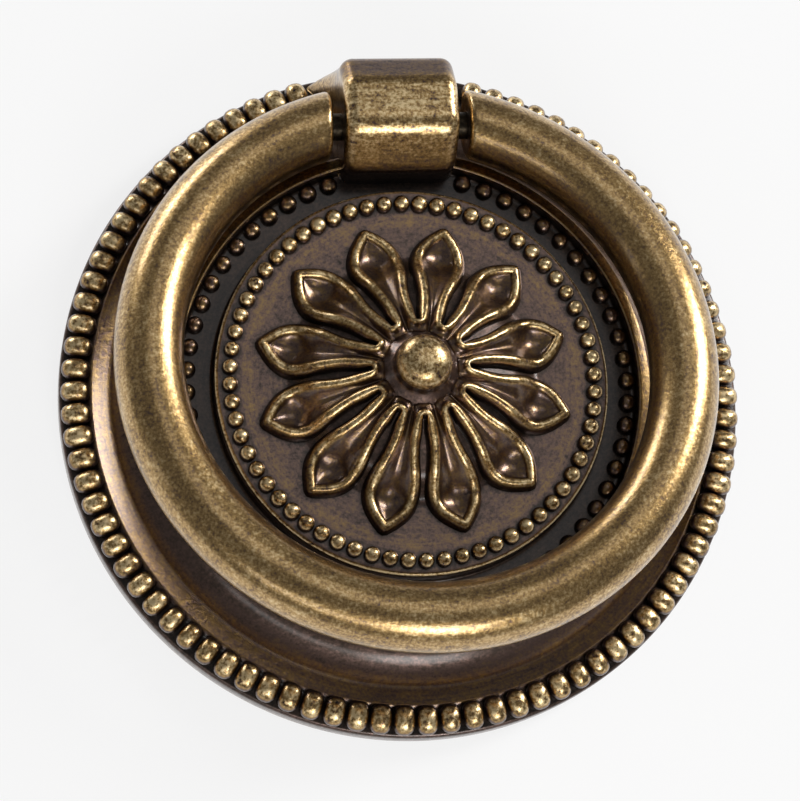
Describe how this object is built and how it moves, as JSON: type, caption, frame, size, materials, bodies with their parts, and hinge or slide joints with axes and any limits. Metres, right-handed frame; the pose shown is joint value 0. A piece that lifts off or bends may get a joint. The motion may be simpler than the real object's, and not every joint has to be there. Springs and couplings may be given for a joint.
{
  "type": "ring pull handle",
  "caption": "Round cast back plate with beaded edge, domed petal rosette and hinge knuckle, carrying a swinging C-shaped ring; screws to a drawer or cabinet door from behind.",
  "frame": {"origin": "centre of the flat back rim, on the axis of the fixing hole", "axes": "+Z out of the plate towards the hand, +Y from the centre to the hinge, +X to the right seen from the front"},
  "size_m": [0.066, 0.066, 0.0189],
  "materials": {
    "plate_brass": "antique brass, dark patina in the hollows, worn bright on the beads and petal rims",
    "ring_brass": "satin antique brass, brown and mottled",
    "pin_metal": "dark patina"
  },
  "bodies": {
    "plate": {"back_plate": "plate_brass", "pivot_pin": "pin_metal"},
    "ring": {"ring": "ring_brass"}
  },
  "joints": [
    {"name": "ring_swing", "type": "hinge", "parent": "plate", "child": "ring", "pos_m": [0, 0.0249, 0.0095], "axis": [-1, 0, 0], "range_deg": [0, 170]}
  ]
}
